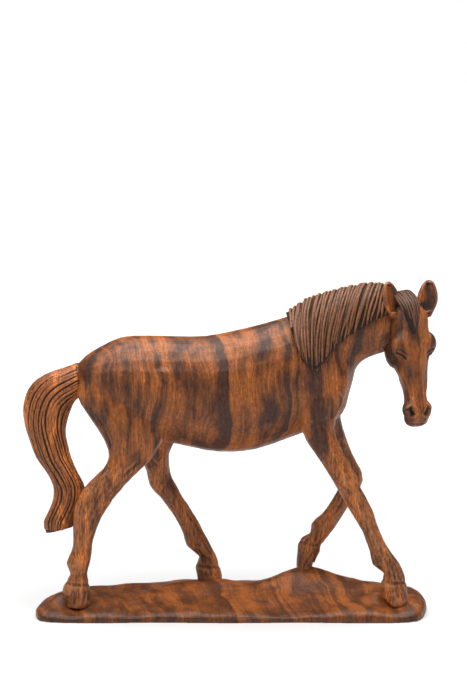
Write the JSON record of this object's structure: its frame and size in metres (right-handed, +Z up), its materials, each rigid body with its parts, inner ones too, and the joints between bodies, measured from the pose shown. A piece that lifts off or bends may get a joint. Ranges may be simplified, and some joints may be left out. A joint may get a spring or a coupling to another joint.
{
  "type": "carved horse figurine",
  "caption": "Hand-carved wooden horse walking on a low uneven plinth, head turned to its right, with grooved mane, forelock and tail.",
  "frame": {"origin": "on the flat underside of the plinth, below the middle of the horse", "axes": "+X the way the horse walks, +Y its left side, +Z up from the underside"},
  "size_m": [0.2997, 0.0887, 0.2467],
  "materials": {
    "polished_wood": "varnished satin, vertical dark bands",
    "grooved_wood": "varnished satin, cut with fine grooves that hold dark stain"
  },
  "bodies": {
    "root": {"plinth": "polished_wood", "hindquarters": "polished_wood", "barrel": "polished_wood", "forequarters": "polished_wood", "neck": "polished_wood", "head": "polished_wood", "ear_right": "polished_wood", "ear_left": "polished_wood", "mane": "grooved_wood", "forelock": "grooved_wood", "tail": "grooved_wood", "forearm_fore_right": "polished_wood", "cannon_fore_right": "polished_wood", "hoof_fore_right": "polished_wood", "forearm_fore_left": "polished_wood", "cannon_fore_left": "polished_wood", "hoof_fore_left": "polished_wood", "gaskin_hind_right": "polished_wood", "cannon_hind_right": "polished_wood", "hoof_hind_right": "polished_wood", "gaskin_hind_left": "polished_wood", "cannon_hind_left": "polished_wood", "hoof_hind_left": "polished_wood"}
  },
  "joints": []
}
